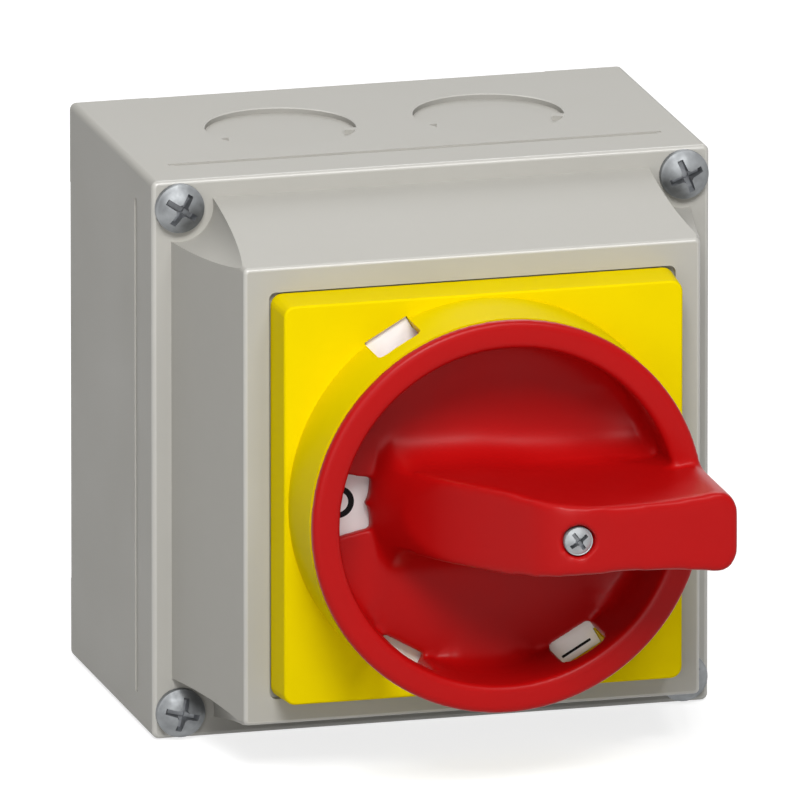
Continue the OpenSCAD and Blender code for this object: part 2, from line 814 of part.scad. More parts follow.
// Fasteners of the block
module tie_bolts() {
    color(zinc) wall_frame() for (s = [-1, 1]) translate([s * tie_xy, s * tie_xy, 0]) {
        rod(tie_r, block_z - tie_nut_h - 0.4, block_top + eps);
        rod(tie_head_r, block_top, block_top + tie_head_h);
        translate([0, 0, block_z - tie_nut_h]) cylinder(r = tie_head_r, h = tie_nut_h, $fn = 6);
    }
}

module block_screws() {
    color(zinc) wall_frame() for (c = corners)
        translate([c[0] * block_screw_x, c[1] * block_screw_y, deck_z0])
            screw(block_screw_head_r, block_screw_head_h, block_screw_r, rear_t + boss_h - 0.5);
}

// Protective-earth terminal on its pad in the wiring space
module earth_terminal() {
    color(brass) wall_frame() difference() {
        translate([earth_x, earth_y, 0]) slab(earth_w - 1, earth_h - 1, earth_z, earth_z + earth_t);
        translate([earth_x, earth_y, 0]) rod(earth_screw_r + seat_gap, earth_z - 1, earth_z + earth_t + 1);
        for (s = [-1, 1]) translate([earth_x - earth_w, earth_y + s * earth_hole_y, earth_z + earth_t / 2])
            rotate([0, 90, 0]) cylinder(r = earth_hole_r, h = 2 * earth_w);
    }
}

module earth_screw() {
    color(brass) wall_frame() translate([earth_x, earth_y, earth_z + earth_t])
        screw(earth_head_r, earth_head_h, earth_screw_r, earth_t + earth_grip);
}

base();
cover();
cover_gasket();
cover_screws();
front_plate();
plate_gasket();
plate_screws();
dial();
handle();
handle_screw();
drive_hub();
hub_seal();
hub_clip();
shaft();
rear_plate();
for (i = [0 : deck_n - 1]) {
    contact_deck(i);
    rotor(i);
    moving_contact(i);
    fixed_contacts(i);
    wire_clamps(i);
    terminal_screws(i);
}
index_housing();
detent_wheel();
detent_spring();
tie_bolts();
block_screws();
earth_terminal();
earth_screw();
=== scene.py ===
import bpy, bmesh, json, math
from mathutils import Matrix, Vector


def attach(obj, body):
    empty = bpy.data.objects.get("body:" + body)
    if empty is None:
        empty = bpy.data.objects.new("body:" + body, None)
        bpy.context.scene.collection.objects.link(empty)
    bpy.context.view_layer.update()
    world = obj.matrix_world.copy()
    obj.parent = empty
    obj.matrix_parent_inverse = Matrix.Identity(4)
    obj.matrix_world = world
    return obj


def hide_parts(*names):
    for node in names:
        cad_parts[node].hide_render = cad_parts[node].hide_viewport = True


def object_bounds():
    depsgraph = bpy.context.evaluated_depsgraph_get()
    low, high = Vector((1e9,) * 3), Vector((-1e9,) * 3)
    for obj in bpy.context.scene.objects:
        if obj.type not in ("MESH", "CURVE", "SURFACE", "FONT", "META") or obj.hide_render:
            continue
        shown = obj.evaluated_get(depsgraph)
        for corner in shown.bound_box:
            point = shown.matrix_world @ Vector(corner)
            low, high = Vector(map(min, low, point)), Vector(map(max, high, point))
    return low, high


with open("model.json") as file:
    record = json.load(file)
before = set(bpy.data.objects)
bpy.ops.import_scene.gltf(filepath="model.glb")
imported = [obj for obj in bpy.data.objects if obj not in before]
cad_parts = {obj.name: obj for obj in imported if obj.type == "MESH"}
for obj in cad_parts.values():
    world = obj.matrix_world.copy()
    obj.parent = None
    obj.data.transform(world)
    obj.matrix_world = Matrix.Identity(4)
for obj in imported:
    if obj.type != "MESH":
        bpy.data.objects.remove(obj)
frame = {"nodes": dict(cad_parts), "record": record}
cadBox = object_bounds()
nodes = frame["nodes"]
scene = bpy.context.scene
mm = 0.001
wallFrame = Matrix.Rotation(math.radians(90), 4, "X")  # x right, y up, z out of the wall, stood up
print("frame loaded:", len(nodes), "nodes")


# shared shader effects, each a group that is built once
effects = dict(streakStretch=(1.0, 0.18, 1.0), cloudScale=420.0, noiseSpan=(0.3, 0.7), bumpDistance=0.0001)


def newGroup(name, *scales):
    group = bpy.data.node_groups.new(name, "ShaderNodeTree")
    group.interface.new_socket(name="Vector", in_out="INPUT", socket_type="NodeSocketVector")
    for label in (*scales, "Tone Low", "Tone High", "Rough Low", "Rough High"):
        group.interface.new_socket(name=label, in_out="INPUT", socket_type="NodeSocketFloat")
    for label in ("Height", "Tone", "Rough"):
        group.interface.new_socket(name=label, in_out="OUTPUT", socket_type="NodeSocketFloat")
    return group, group.nodes.new("NodeGroupInput").outputs, group.nodes.new("NodeGroupOutput").inputs


def addNode(tree, kind, **values):
    node = tree.nodes.new(kind)
    for key, value in values.items():
        setattr(node, key, value)
    return node


def feed(tree, value, socket):
    if isinstance(value, (int, float)):
        socket.default_value = value
    else:
        tree.links.new(value, socket)


def addNoise(tree, vector, scale, detail, roughness=0.5):
    noise = addNode(tree, "ShaderNodeTexNoise")
    for label, value in (("Vector", vector), ("Scale", scale), ("Detail", detail), ("Roughness", roughness)):
        feed(tree, value, noise.inputs[label])
    return noise.outputs["Fac"]


def addRange(tree, value, low, high, span=effects["noiseSpan"]):
    remap = addNode(tree, "ShaderNodeMapRange")
    for label, amount in (("Value", value), ("From Min", span[0]), ("From Max", span[1]), ("To Min", low),
                          ("To Max", high)):
        feed(tree, amount, remap.inputs[label])
    return remap.outputs["Result"]


def closeGroup(group, given, made, height, toneNoise, roughNoise):
    group.links.new(height, made["Height"])
    for label, noise in (("Tone", toneNoise), ("Rough", roughNoise)):
        group.links.new(addRange(group, noise, given[label + " Low"], given[label + " High"]), made[label])


group, given, made = newGroup("mouldGrain", "Grain Scale", "Mottle Scale")
grain = addNoise(group, given["Vector"], given["Grain Scale"], 2.0)
mottle = addNoise(group, given["Vector"], given["Mottle Scale"], 4.0, 0.6)
closeGroup(group, given, made, grain, mottle, mottle)

group, given, made = newGroup("metalSkin", "Streak Scale")
stretch = addNode(group, "ShaderNodeMapping")
stretch.inputs["Scale"].default_value = effects["streakStretch"]
group.links.new(given["Vector"], stretch.inputs["Vector"])
streak = addNoise(group, stretch.outputs["Vector"], given["Streak Scale"], 3.0, 0.6)
cloud = addNoise(group, given["Vector"], effects["cloudScale"], 2.0)
closeGroup(group, given, made, streak, cloud, streak)

finishes = {
    "greyPlastic": dict(group="mouldGrain", color=(0.430, 0.419, 0.386), rough=(0.40, 0.50),
                        tone=(0.975, 1.02), grain=2600.0, mottle=70.0, bump=0.05, specular=0.10),
    # glossier grey for rounds and seam walls; its slightly paler colour is a painted highlight along them
    "greyEdge": dict(group="mouldGrain", color=(0.454, 0.443, 0.409), rough=(0.30, 0.36),
                     tone=(0.975, 1.02), grain=2600.0, mottle=70.0, bump=0.03, specular=1.0),
    # darker grey for the knockouts' walls: painted shade in the shallow recesses
    "greyWall": dict(group="mouldGrain", color=(0.350, 0.341, 0.315), rough=(0.45, 0.55),
                     tone=(0.975, 1.02), grain=2600.0, mottle=70.0, bump=0.05, specular=0.10),
    "yellowPlastic": dict(group="mouldGrain", color=(0.775, 0.602, 0.0005), rough=(0.34, 0.42),
                          tone=(0.98, 1.015), grain=3200.0, mottle=80.0, bump=0.03, specular=0.01),
    "redPlastic": dict(group="mouldGrain", color=(0.408, 0.0027, 0.0029), rough=(0.33, 0.40),
                       tone=(0.97, 1.02), grain=3200.0, mottle=90.0, bump=0.03, specular=0.16),
    "whiteDial": dict(group="mouldGrain", color=(0.93, 0.93, 0.92), rough=(0.45, 0.55),
                      tone=(0.98, 1.01), grain=3000.0, mottle=120.0, bump=0.03, specular=0.4),
    # black for the printed O and I, and for the painted shade in the tab's slit
    "dialInkAndSlitShade": dict(group="mouldGrain", color=(0.012, 0.012, 0.013), rough=(0.5, 0.6),
                    tone=(0.9, 1.1), grain=3000.0, mottle=300.0, bump=0.03, specular=0.05),
    "sealRubber": dict(group="mouldGrain", color=(0.020, 0.020, 0.021), rough=(0.7, 0.85),
                       tone=(0.85, 1.15), grain=1800.0, mottle=150.0, bump=0.15, specular=0.3),
    "blackPlastic": dict(group="mouldGrain", color=(0.022, 0.022, 0.024), rough=(0.45, 0.58),
                         tone=(0.9, 1.1), grain=2200.0, mottle=120.0, bump=0.06, specular=0.45),
    "darkNylon": dict(group="mouldGrain", color=(0.080, 0.083, 0.090), rough=(0.5, 0.65),
                      tone=(0.92, 1.08), grain=1800.0, mottle=120.0, bump=0.08, specular=0.4),
    "zincSteel": dict(group="metalSkin", color=(0.355, 0.368, 0.378), rough=(0.60, 0.78),
                      tone=(0.76, 1.10), streak=900.0, bump=0.14, metallic=1.0),
    "zincDull": dict(group="metalSkin", color=(0.245, 0.255, 0.262), rough=(0.52, 0.70),
                     tone=(0.72, 1.10), streak=900.0, bump=0.14, metallic=1.0),
    # a separate metal colour for the cross recesses: painted shade in the recess, set apart from the heads' own
    # colour
    "screwRecess": dict(group="metalSkin", color=(0.27, 0.28, 0.295), rough=(0.40, 0.55),
                        tone=(0.7, 1.1), streak=900.0, bump=0.06, metallic=0.8),
    "copper": dict(group="metalSkin", color=(0.76, 0.36, 0.19), rough=(0.25, 0.4),
                   tone=(0.8, 1.05), streak=700.0, bump=0.06, metallic=1.0),
    "brass": dict(group="metalSkin", color=(0.78, 0.56, 0.20), rough=(0.22, 0.36),
                  tone=(0.82, 1.05), streak=700.0, bump=0.06, metallic=1.0),
}


def makeFinish(name, values):
    material = bpy.data.materials.new(name)
    material.use_nodes = True
    tree = material.node_tree
    shader = tree.nodes["Principled BSDF"]
    effect = addNode(tree, "ShaderNodeGroup", node_tree=bpy.data.node_groups[values["group"]])
    tree.links.new(addNode(tree, "ShaderNodeTexCoord").outputs["Object"], effect.inputs["Vector"])
    for label in ("tone", "rough"):
        for end, amount in zip((" Low", " High"), values[label]):
            effect.inputs[label.title() + end].default_value = amount
    for label in ("grain", "mottle", "streak"):
        if label in values:
            effect.inputs[label.title() + " Scale"].default_value = values[label]
    tint = addNode(tree, "ShaderNodeMix", data_type="RGBA", blend_type="MULTIPLY")
    tint.inputs["Factor"].default_value = 1.0
    tint.inputs["A"].default_value = (*values["color"], 1.0)
    tree.links.new(effect.outputs["Tone"], tint.inputs["B"])
    tree.links.new(tint.outputs["Result"], shader.inputs["Base Color"])
    tree.links.new(effect.outputs["Rough"], shader.inputs["Roughness"])
    bump = addNode(tree, "ShaderNodeBump")
    bump.inputs["Strength"].default_value = values["bump"]
    bump.inputs["Distance"].default_value = effects["bumpDistance"]
    tree.links.new(effect.outputs["Height"], bump.inputs["Height"])
    tree.links.new(bump.outputs["Normal"], shader.inputs["Normal"])
    shader.inputs["Metallic"].default_value = values.get("metallic", 0.0)
    shader.inputs["Specular IOR Level"].default_value = values.get("specular", 0.5)
    return material


finish = {name: makeFinish(name, values) for name, values in finishes.items()}
print("finishes made:", len(finish))

# every CAD node gets the finish of its material slot
slotFinish = {"grey_plastic": "greyPlastic", "yellow_plastic": "yellowPlastic", "red_plastic": "redPlastic",
              "white_plastic": "whiteDial", "seal_rubber": "sealRubber", "zinc_steel": "zincSteel",
              "black_plastic": "blackPlastic", "dark_nylon": "darkNylon", "copper": "copper", "brass": "brass"}
for part in frame["record"]["subparts"]:
    mesh = nodes[part["node"]].data
    mesh.materials.clear()
    mesh.materials.append(finish[slotFinish[part["material_slot"]]])
print("CAD nodes dressed")


# mesh helpers: new shapes are drawn in millimetres in the wall frame, then stood up by addPiece
weld = dict(cadMetres=2e-6, shape=1e-4, sliver=2e-4, flatDegrees=0.3)
shading = dict(flatDegrees=0.25, flatWidth=0.8, smoothDegrees=35, noAngle=9, tiny=1e-6)
edgePick = dict(rise=0.5, level=0.02)
past = 1.0  # how far an envelope or a cutter reaches beyond what it trims
skin = 0.01  # an envelope stands this far off the faces that it leaves alone


def wallCopy(nodeName):
    bm = bmesh.new()
    bm.from_mesh(nodes[nodeName].data)
    bmesh.ops.remove_doubles(bm, verts=bm.verts, dist=weld["cadMetres"])
    bmesh.ops.transform(bm, verts=bm.verts, matrix=Matrix.Scale(1 / mm, 4) @ wallFrame.inverted())
    bmesh.ops.dissolve_limit(bm, angle_limit=math.radians(weld["flatDegrees"]), verts=bm.verts, edges=bm.edges)
    return bm


def shift(bm, x, y, z):
    bmesh.ops.translate(bm, verts=bm.verts, vec=(x, y, z))


def turn(bm, degrees, axis="Z"):
    bmesh.ops.rotate(bm, verts=bm.verts, matrix=Matrix.Rotation(math.radians(degrees), 3, axis))


def blockShape(width, height, low, high, topScale=1.0):
    bm = bmesh.new()
    bmesh.ops.create_cube(bm, size=1.0)
    bmesh.ops.scale(bm, verts=bm.verts, vec=(width, height, high - low))
    shift(bm, 0, 0, (low + high) / 2)
    top = [v for v in bm.verts if v.co.z > (low + high) / 2]
    bmesh.ops.scale(bm, verts=top, vec=(topScale, topScale, 1))
    return bm


def rodShape(radius, low, high, steps, topRadius=None):
    bm = bmesh.new()
    bmesh.ops.create_cone(bm, cap_ends=True, segments=steps, radius1=radius,
                          radius2=radius if topRadius is None else topRadius, depth=high - low)
    shift(bm, 0, 0, (low + high) / 2)
    return bm


def spunShape(profile, steps=64):
    bm = bmesh.new()
    points = [bm.verts.new((r, 0, f)) for r, f in profile]
    edges = [bm.edges.new(pair) for pair in zip(points, points[1:])]
    bmesh.ops.spin(bm, geom=points + edges, cent=(0, 0, 0), axis=(0, 0, 1), angle=math.tau, steps=steps,
                   use_merge=True)
    bmesh.ops.remove_doubles(bm, verts=bm.verts, dist=weld["shape"])
    bmesh.ops.recalc_face_normals(bm, faces=bm.faces)
    return bm


def roundEdges(bm, width, pick, segments):
    edges = [e for e in bm.edges if pick(e.verts[0].co, e.verts[1].co)]
    bmesh.ops.bevel(bm, geom=edges, offset=width, offset_type="OFFSET", affect="EDGES", segments=segments,
                    profile=0.5, material=-1)


def upright(a, b):
    return abs(a.z - b.z) > edgePick["rise"]


def atHeight(height):
    return lambda a, b: max(abs(a.z - height), abs(b.z - height)) < edgePick["level"]


def looseObject(name, bm):
    mesh = bpy.data.meshes.new(name)
    bm.to_mesh(mesh)
    bm.free()
    thing = bpy.data.objects.new(name, mesh)
    scene.collection.objects.link(thing)
    return thing


def dropObjects(*things):
    for thing in things:
        mesh = thing.data
        bpy.data.objects.remove(thing)
        bpy.data.meshes.remove(mesh)


def evaluated(thing):
    bm = bmesh.new()
    bm.from_object(thing, bpy.context.evaluated_depsgraph_get())
    return bm


def combine(bm, other, operation):
    body, tool = looseObject("combineBody", bm), looseObject("combineTool", other)
    change = body.modifiers.new("combine", "BOOLEAN")
    change.operation, change.solver, change.object = operation, "EXACT", tool
    change.use_self = True
    result = evaluated(body)
    dropObjects(body, tool)
    bmesh.ops.remove_doubles(result, verts=result.verts, dist=weld["shape"])
    return result


# faces in wide flat areas map to the area's normal, all other faces to none
def flatAreas(bm):
    normals, limit = {}, math.radians(shading["flatDegrees"])
    for start in bm.faces:
        if start in normals:
            continue
        area, waiting = [start], [start]
        normals[start] = None
        while waiting:
            for edge in waiting.pop().edges:
                for face in edge.link_faces:
                    if face not in normals and face.normal.angle(start.normal, shading["noAngle"]) < limit:
                        normals[face] = None
                        area.append(face)
                        waiting.append(face)
        size = sum(face.calc_area() for face in area)
        if size / max(e.calc_length() for face in area for e in face.edges) > shading["flatWidth"]:
            average = sum((face.normal * face.calc_area() for face in area), Vector()).normalized()
            normals.update((face, average) for face in area)
    return normals


# flat areas stay flat up to their rims, and the rounds between them blend from one to the next
def cornerNormals(bm):
    flat, limit, result = flatAreas(bm), math.radians(shading["smoothDegrees"]), []
    for face in bm.faces:
        for loop in face.loops:
            near = [other for other in loop.vert.link_faces
                    if other.normal.angle(face.normal, shading["noAngle"]) < limit]
            wide = [flat[other] for other in near if flat[other]]
            if flat[face]:
                total = flat[face]
            elif wide:
                total = sum({tuple(round(c, 4) for c in n): n for n in wide}.values(), Vector())
            else:
                total = sum((other.normal * other.calc_area() for other in near), face.normal * shading["tiny"])
            result.append(total.normalized())
    return result


def dressFaces(bm, index, pick):
    bm.normal_update()
    flat = flatAreas(bm)
    for face in bm.faces:
        if not flat[face] and pick(face.calc_center_median()):
            face.material_index = index


def addPiece(name, bm, finishNames, body, replaced=(), keepFlats=True):
    bmesh.ops.transform(bm, verts=bm.verts, matrix=wallFrame)
    if keepFlats:
        bmesh.ops.triangulate(bm, faces=[face for face in bm.faces if len(face.verts) > 4])
        bmesh.ops.dissolve_degenerate(bm, dist=weld["sliver"], edges=bm.edges)
    bm.normal_update()
    normals = cornerNormals(bm) if keepFlats else None
    bmesh.ops.scale(bm, verts=bm.verts, vec=(mm, mm, mm))
    for face in bm.faces:
        face.smooth = True
    mesh = bpy.data.meshes.new(name)
    bm.to_mesh(mesh)
    bm.free()
    if normals:
        mesh.normals_split_custom_set(normals)
    for finishName in finishNames.split():
        mesh.materials.append(finish[finishName])
    piece = bpy.data.objects.new(name, mesh)
    scene.collection.objects.link(piece)
    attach(piece, body)
    if replaced:
        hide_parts(*replaced)
    print("piece:", name, len(mesh.polygons), "faces")


# box base: the moulded tray with a softened rear edge, rims round the knockouts and a rebate at the joint
base = dict(width=82.0, joint=38.4, cornerRound=1.0, rearRound=0.6, knockoutRadius=10.8, knockoutRim=0.16,
            knockoutX=15.35, knockoutF=21.2, knockoutBand=0.3, knockoutWall=0.7, rimLap=0.02, seamHalf=36.3,
            seamWidth=(0.8, 1.4), seamDepth=(0.3, 0.22), seamBand=0.02, seamLow=40.74)
outer = blockShape(base["width"] + 2 * skin, base["width"] + 2 * skin, -skin, base["joint"] + past)
roundEdges(outer, base["cornerRound"], upright, 6)
roundEdges(outer, base["rearRound"], atHeight(-skin), 4)
bm = combine(wallCopy("base"), outer, "INTERSECT")
for side in (1, -1):
    for hand in (1, -1):
        rim = rodShape(base["knockoutRadius"] - base["rimLap"], -base["knockoutRim"], base["rimLap"], 96,
                       base["knockoutRadius"] + base["knockoutRim"])
        turn(rim, -90 * side, "X")
        shift(rim, hand * base["knockoutX"], side * base["width"] / 2, base["knockoutF"])
        bm = combine(bm, rim, "DIFFERENCE")
for quarter in range(4):
    depth, width = base["seamDepth"][quarter % 2], base["seamWidth"][quarter % 2]
    lip = blockShape(2 * base["seamHalf"], 2 * depth, base["joint"] - width, base["joint"] + past)
    shift(lip, 0, base["width"] / 2, 0)
    turn(lip, 90 * quarter)
    bm = combine(bm, lip, "DIFFERENCE")
rimLow, seamWall = base["width"] / 2 - base["knockoutRim"], base["joint"] - base["seamWidth"][1]


def nearKnockout(c):
    radius = math.hypot(abs(c.x) - base["knockoutX"], c.z - base["knockoutF"])
    return abs(radius - base["knockoutRadius"]) < base["knockoutBand"]


# the knockouts' rims and the side seams' front-facing walls get the paler, glossier grey: a painted highlight
def onPaintedHighlight(c):
    onSeam = abs(c.z - seamWall) < base["seamBand"] and abs(c.x) > base["seamLow"]
    return onSeam or abs(c.y) > rimLow and nearKnockout(c)


# the knockouts' walls get the darker grey: painted shade in the recesses
def inKnockoutPaintedShade(c):
    return rimLow - base["knockoutWall"] < abs(c.y) < rimLow and nearKnockout(c)


# painted highlight on the knockout rims and side seam walls, painted shade on the knockout walls
dressFaces(bm, 1, onPaintedHighlight)
dressFaces(bm, 2, inKnockoutPaintedShade)
addPiece("boxBase", bm, "greyPlastic greyEdge greyWall", "housing", ["base"])

# box cover: flange and tapered front with softened outer edges
cover = dict(width=82.0, joint=38.4, flange=47.0, front=69.6, raised=76.4, plateau=66.8, cornerRound=1.0,
             flangeRound=0.65, frontRound=0.5, ridgeRound=0.75, edgeBand=0.1)
taper = (cover["raised"] - cover["plateau"]) / (cover["front"] - cover["flange"])
lowRaised, highRaised = cover["raised"] + taper * past + 2 * skin, cover["plateau"] + 2 * skin
outer = blockShape(cover["width"] + 2 * skin, cover["width"] + 2 * skin, cover["joint"] - past,
                   cover["flange"] + skin)
roundEdges(outer, cover["cornerRound"], upright, 6)
roundEdges(outer, cover["flangeRound"], atHeight(cover["flange"] + skin), 3)
raised = blockShape(lowRaised, lowRaised, cover["flange"] - past, cover["front"] + skin, highRaised / lowRaised)
roundEdges(raised, cover["ridgeRound"], upright, 3)
roundEdges(raised, cover["frontRound"], atHeight(cover["front"] + skin), 4)
bm = combine(wallCopy("cover"), combine(outer, raised, "UNION"), "INTERSECT")


# the flange's and the front's outer rounds take the paler, glossier grey: a painted highlight on top of their
# gloss
def onCoverPaintedHighlight(c):
    reach = max(abs(c.x), abs(c.y)) + cover["flangeRound"]
    if c.z < cover["flange"] + cover["edgeBand"]:
        return c.z > cover["flange"] - cover["flangeRound"] and reach > cover["width"] / 2
    return c.z > cover["front"] - cover["frontRound"] - cover["edgeBand"] and reach > cover["plateau"] / 2


dressFaces(bm, 1, onCoverPaintedHighlight)
addPiece("boxCover", bm, "greyPlastic greyEdge", "housing", ["cover"])

# front plate with its collar
plate = dict(width=59.2, draft=0.4, low=69.4, front=75.7, cornerRound=1.7, edgeRound=0.4, collar=28.65,
             collarFront=87.5)
bm = wallCopy("front_plate")
bmesh.ops.triangulate(bm, faces=bm.faces)  # the slots' inner corners cut cleanly only from triangles
wide = plate["width"] + 2 * skin
outer = blockShape(wide, wide, plate["low"] - past, plate["front"] + skin, 1 - 2 * plate["draft"] / wide)
roundEdges(outer, plate["cornerRound"], upright, 6)
roundEdges(outer, plate["edgeRound"], atHeight(plate["front"] + skin), 3)
collar = rodShape(plate["collar"] + skin, plate["low"] + past, plate["collarFront"] + past, 256)
bm = combine(bm, combine(outer, collar, "UNION"), "INTERSECT")
addPiece("frontPlate", bm, "yellowPlastic", "housing", ["front_plate"])

# dial disc, with its O and I printed a hair proud of the face, and a black bar in one tab's slit that is painted
# shade for the dark through-slot
dial = dict(front=75.0, ink=0.03, markRadius=21.2, ringOut=2.35, ringIn=1.5, barWidth=0.6, barLength=4.4,
            barRound=0.12, slitAngle=300, slitRadius=27.6, slitWidth=0.4, slitLength=4.8, slitDepth=0.9)
addPiece("dialDisc", wallCopy("dial"), "whiteDial", "housing", ["dial"])
low, high = dial["front"] - dial["ink"], dial["front"] + dial["ink"]
bm = spunShape([(dial["ringIn"], low), (dial["ringIn"], high), (dial["ringOut"], high), (dial["ringOut"], low),
                (dial["ringIn"], low)])
shift(bm, -dial["markRadius"], 0, 0)
addPiece("dialMarkO", bm, "dialInkAndSlitShade", "housing")
bm = blockShape(dial["barWidth"], dial["barLength"], low, high)
roundEdges(bm, dial["barRound"], upright, 3)
shift(bm, 0, dial["markRadius"], 0)
addPiece("dialMarkI", bm, "dialInkAndSlitShade", "housing")
# a black bar just under the face fills the slit: painted shade, not print
bm = blockShape(dial["slitWidth"], dial["slitLength"], dial["front"] - dial["slitDepth"], low)
shift(bm, dial["slitRadius"], 0, 0)
turn(bm, dial["slitAngle"])
addPiece("dialSlitShade", bm, "dialInkAndSlitShade", "housing")

# dished handle: the moulding's edges all flow into each other, most of all on the grip
handle = dict(voxel=0.38, front=104.9, ring=89.6, ringRadius=28.7, ringDrop=4.0, reach=29.35, endHalf=6.0,
              endRound=3.2, endDrop=2.4, allPasses=3, gripPasses=14, gripRise=0.8, footLow=79.0, footRadius=19.0,
              screwX=6.15, screwClear=3.2, cornerPasses=45, cornerIn=19.5, cornerOut=25.2, cornerTop=82.0,
              openings=(120, 180, 240, 300), openHalf=(13, 15, 18), channelPasses=22, channelOut=23.0,
              channelSpan=(5.5, 15.0), channelHeight=(76.4, 84.0), channelEnds=(16, 13, 10))
bm, endRound, ringLow = wallCopy("handle"), handle["endRound"], handle["ring"] - handle["ringDrop"]
for side in (1, -1):
    corner = blockShape(2 * endRound, 2 * endRound, handle["ring"] - handle["endDrop"], handle["front"] + past)
    shift(corner, handle["reach"], side * handle["endHalf"], 0)
    corner = combine(corner, rodShape(handle["ringRadius"], ringLow, handle["ring"], 192), "DIFFERENCE")
    fillet = rodShape(endRound, ringLow, handle["front"] + 2 * past, 96)
    shift(fillet, handle["reach"] - endRound, side * (handle["endHalf"] - endRound), 0)
    bm = combine(bm, combine(corner, fillet, "DIFFERENCE"), "DIFFERENCE")
body = looseObject("handleBody", bm)
remesh = body.modifiers.new("remesh", "REMESH")
remesh.mode, remesh.voxel_size = "VOXEL", handle["voxel"]
bm = evaluated(body)
dropObjects(body)


def onGrip(c):
    clear = math.hypot(c.x - handle["screwX"], c.y) > handle["screwClear"]
    onFoot = c.z > handle["footLow"] and math.hypot(c.x, c.y) < handle["footRadius"]
    return clear and (onFoot or c.z > handle["ring"] + handle["gripRise"])


def inBowlCorner(c, openHalf):
    angle = math.degrees(math.atan2(c.y, c.x)) % 360
    clear = all(abs(angle - opening) > openHalf for opening in handle["openings"])
    inside = handle["cornerIn"] < math.hypot(c.x, c.y) < handle["cornerOut"]
    return clear and inside and c.z < handle["cornerTop"]


def inChannel(c, end):
    (near, far), (low, high) = handle["channelSpan"], handle["channelHeight"]
    inside = math.hypot(c.x, c.y) < handle["channelOut"] and c.x > -end
    return inside and near < abs(c.y) < far and low < c.z < high


def soften(bm, passes, pick):
    verts = [v for v in bm.verts if pick(v.co)]
    for count in range(passes):
        bmesh.ops.smooth_vert(bm, verts=verts, factor=0.5, use_axis_x=True, use_axis_y=True, use_axis_z=True)


soften(bm, handle["allPasses"], lambda c: True)
soften(bm, handle["gripPasses"], onGrip)
for openHalf in handle["openHalf"]:  # softer and softer away from the slots
    soften(bm, handle["cornerPasses"], lambda c: inBowlCorner(c, openHalf))
for end in handle["channelEnds"]:  # and away from the window
    soften(bm, handle["channelPasses"], lambda c: inChannel(c, end))
addPiece("dishedHandle", bm, "redPlastic", "turning_group", ["handle"], keepFlats=False)

# pan-head screws with a tapered cross recess; the recess's foot and core are shares of its reach, width and depth
recess = dict(footReach=1.3, footWidth=0.75, coreLow=0.45, coreHigh=1.05, coreDepth=1.15, over=0.5, lip=0.08)
pan = dict(domeSteps=16, rimIn=0.03, rimLift=0.14, footRound=0.12)


def crossRecess(top, depth, reach, width, degrees):
    bm, footReach, footWidth = None, reach * recess["footReach"], width * recess["footWidth"]
    for angle in (0, 90):
        arm = blockShape(footReach, footWidth, top - depth, top + recess["over"])
        high = [v for v in arm.verts if v.co.z > top]
        bmesh.ops.scale(arm, verts=high, vec=(2 * reach / footReach, 1.0 / recess["footWidth"], 1))
        turn(arm, angle + degrees)
        bm = arm if bm is None else combine(bm, arm, "UNION")
    core = rodShape(width * recess["coreLow"], top - depth * recess["coreDepth"], top + recess["over"], 32,
                    width * recess["coreHigh"])
    return combine(bm, core, "UNION")


def panScrew(values, degrees):
    headR, headH, rim = values["headRadius"], values["headHeight"], values["rim"]
    shankR, length, reach = values["shankRadius"], values["length"], values["recessReach"]
    rise = headH - rim
    domeR = (headR ** 2 + rise ** 2) / (2 * rise)

    def domeHeight(r):
        return headH - domeR + math.sqrt(domeR ** 2 - r ** 2)

    steps = [headR * step / pan["domeSteps"] for step in range(1, pan["domeSteps"])]
    profile = [(0, headH)] + [(r, domeHeight(r)) for r in steps]
    profile += [(headR - pan["rimIn"], rim + pan["rimLift"]), (headR, rim), (headR, pan["footRound"]),
                (headR - pan["footRound"], 0.0), (shankR, 0.0), (shankR, -length), (0, -length)]
    cross = crossRecess(headH, values["recessDepth"], reach, values["recessWidth"], degrees)
    bm = combine(spunShape(profile), cross, "DIFFERENCE")
    # faces inside the recess take the second finish, the painted recess shade
    for face in bm.faces:
        middle = face.calc_center_median()
        r = math.hypot(middle.x, middle.y)
        if r < reach and 0 < middle.z < domeHeight(r) - recess["lip"]:
            face.material_index = 1
    return bm


coverScrew = dict(headRadius=3.55, headHeight=2.5, rim=0.9, shankRadius=1.75, length=22.0, recessDepth=1.7,
                  recessReach=3.1, recessWidth=1.0, seat=47.0, place=37.1)
corners = {"upperLeft": (-1, 1, 57), "upperRight": (1, 1, 22), "lowerLeft": (-1, -1, -15),
           "lowerRight": (1, -1, 40)}
for label, (sx, sy, degrees) in corners.items():
    bm = panScrew(coverScrew, degrees)
    shift(bm, sx * coverScrew["place"], sy * coverScrew["place"], coverScrew["seat"])
    addPiece("coverScrew_" + label, bm, "zincDull screwRecess", "housing", ["cover_screws"])

handleScrew = dict(headRadius=2.08, headHeight=1.5, rim=0.95, shankRadius=1.4, length=24.9, recessDepth=1.1,
                   recessReach=1.72, recessWidth=0.64, seat=103.1, place=6.15, degrees=35)
bm = panScrew(handleScrew, handleScrew["degrees"])
shift(bm, handleScrew["place"], 0, handleScrew["seat"])
addPiece("handleScrew", bm, "zincSteel screwRecess", "turning_group", ["handle_screw"])

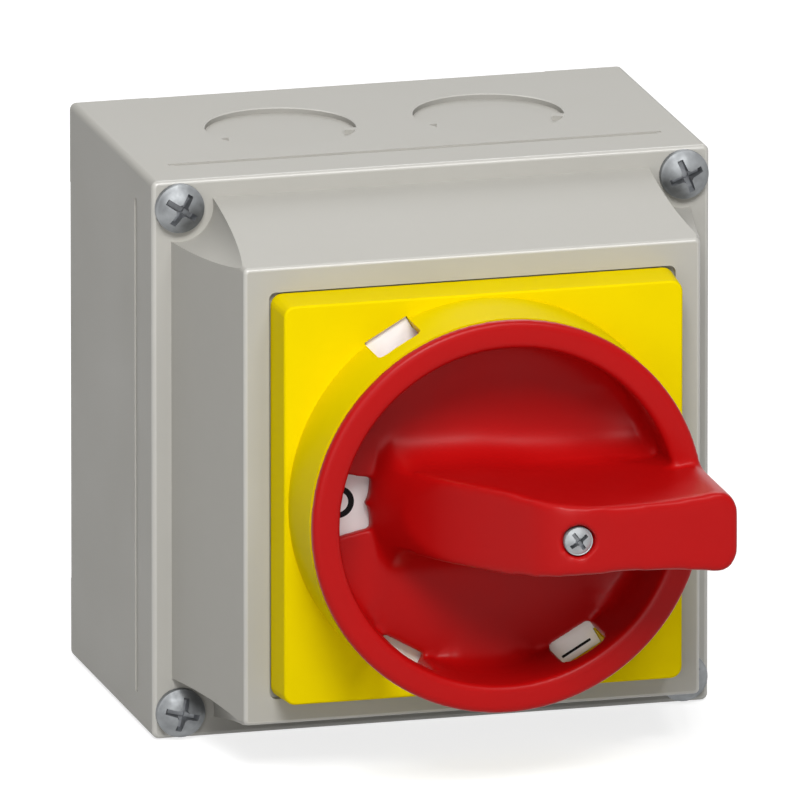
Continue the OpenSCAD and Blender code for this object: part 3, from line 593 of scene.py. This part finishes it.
# studio: pale floor, soft lamps, white surround; the floor and surround are white only to direct rays
studio = dict(floorRadius=5.0, floorGap=0.0002, floorColor=(0.45, 0.45, 0.45, 1.0), floorRough=0.9,
              floorLift=0.78, white=(1.0, 1.0, 1.0, 1.0), ambient=0.11, aim=(0.0, -0.05, 0.0), lamps={
                  "keyLamp": dict(power=9.4, size=0.4, place=(-0.22, -0.82, 0.78)),
                  "sparkLamp": dict(power=2.8, size=0.26, place=(0.275, -0.76, 0.82)),
                  "fillLamp": dict(power=4.2, size=0.7, place=(-0.42, -1.14, 0.06)),
                  "backLamp": dict(power=2.1, size=0.5, place=(0.25, 0.70, 0.64)),
                  "rimLamp": dict(power=1.1, size=0.5, place=(-0.50, 0.22, 0.85))})


def directRays(tree):
    path = addNode(tree, "ShaderNodeLightPath")
    total = path.outputs["Is Camera Ray"]
    for label in ("Is Glossy Ray", "Is Transmission Ray"):
        add = addNode(tree, "ShaderNodeMath", operation="ADD", use_clamp=True)
        tree.links.new(total, add.inputs[0])
        tree.links.new(path.outputs[label], add.inputs[1])
        total = add.outputs[0]
    return total


floorMesh = bpy.data.meshes.new("studioFloor")
bm = bmesh.new()
bmesh.ops.create_circle(bm, cap_ends=True, radius=studio["floorRadius"], segments=64)
shift(bm, 0.0, 0.0, cadBox[0][2] - studio["floorGap"])
bm.to_mesh(floorMesh)
bm.free()
floorMaterial = bpy.data.materials.new("paleFloor")
floorMaterial.use_nodes = True
tree = floorMaterial.node_tree
shader = tree.nodes["Principled BSDF"]
shader.inputs["Base Color"].default_value = studio["floorColor"]
shader.inputs["Roughness"].default_value = studio["floorRough"]
shader.inputs["Specular IOR Level"].default_value = 0.0
shader.inputs["Emission Color"].default_value = studio["white"]
lift = addNode(tree, "ShaderNodeMath", operation="MULTIPLY")
lift.inputs[1].default_value = studio["floorLift"]
tree.links.new(directRays(tree), lift.inputs[0])
tree.links.new(lift.outputs[0], shader.inputs["Emission Strength"])
floorMesh.materials.append(floorMaterial)
floor = bpy.data.objects.new("studioFloor", floorMesh)
scene.collection.objects.link(floor)

world = bpy.data.worlds.new("studioSurround")
scene.world = world
world.use_nodes = True
tree = world.node_tree
background = tree.nodes["Background"]
background.inputs["Color"].default_value = studio["white"]
strength = addRange(tree, directRays(tree), studio["ambient"], 1.0, (0.0, 1.0))
tree.links.new(strength, background.inputs["Strength"])

for name, values in studio["lamps"].items():
    lamp = bpy.data.lights.new(name, "AREA")
    lamp.energy, lamp.shape, lamp.size = values["power"], "SQUARE", values["size"]
    holder = bpy.data.objects.new(name, lamp)
    place = Vector(values["place"])
    holder.location = place
    holder.rotation_euler = (Vector(studio["aim"]) - place).to_track_quat("-Z", "Y").to_euler()
    scene.collection.objects.link(holder)
print("studio lit")

# long lens from the upper left
view = dict(lens=1600.0, sensor=36.0, field=0.1138, aim=(-0.0046, -0.047, 0.00656), back=(-0.25, -0.933, 0.2588),
            clipEnd=20.0)
camera = bpy.data.cameras.new("studioCamera")
camera.lens, camera.sensor_width, camera.clip_end = view["lens"], view["sensor"], view["clipEnd"]
cameraHolder = bpy.data.objects.new("studioCamera", camera)
backward = Vector(view["back"]).normalized()
cameraHolder.location = Vector(view["aim"]) + backward * (view["field"] * view["lens"] / view["sensor"])
cameraHolder.rotation_euler = (-backward).to_track_quat("-Z", "Y").to_euler()
scene.collection.objects.link(cameraHolder)
scene.camera = cameraHolder
scene.view_settings.view_transform = "Standard"
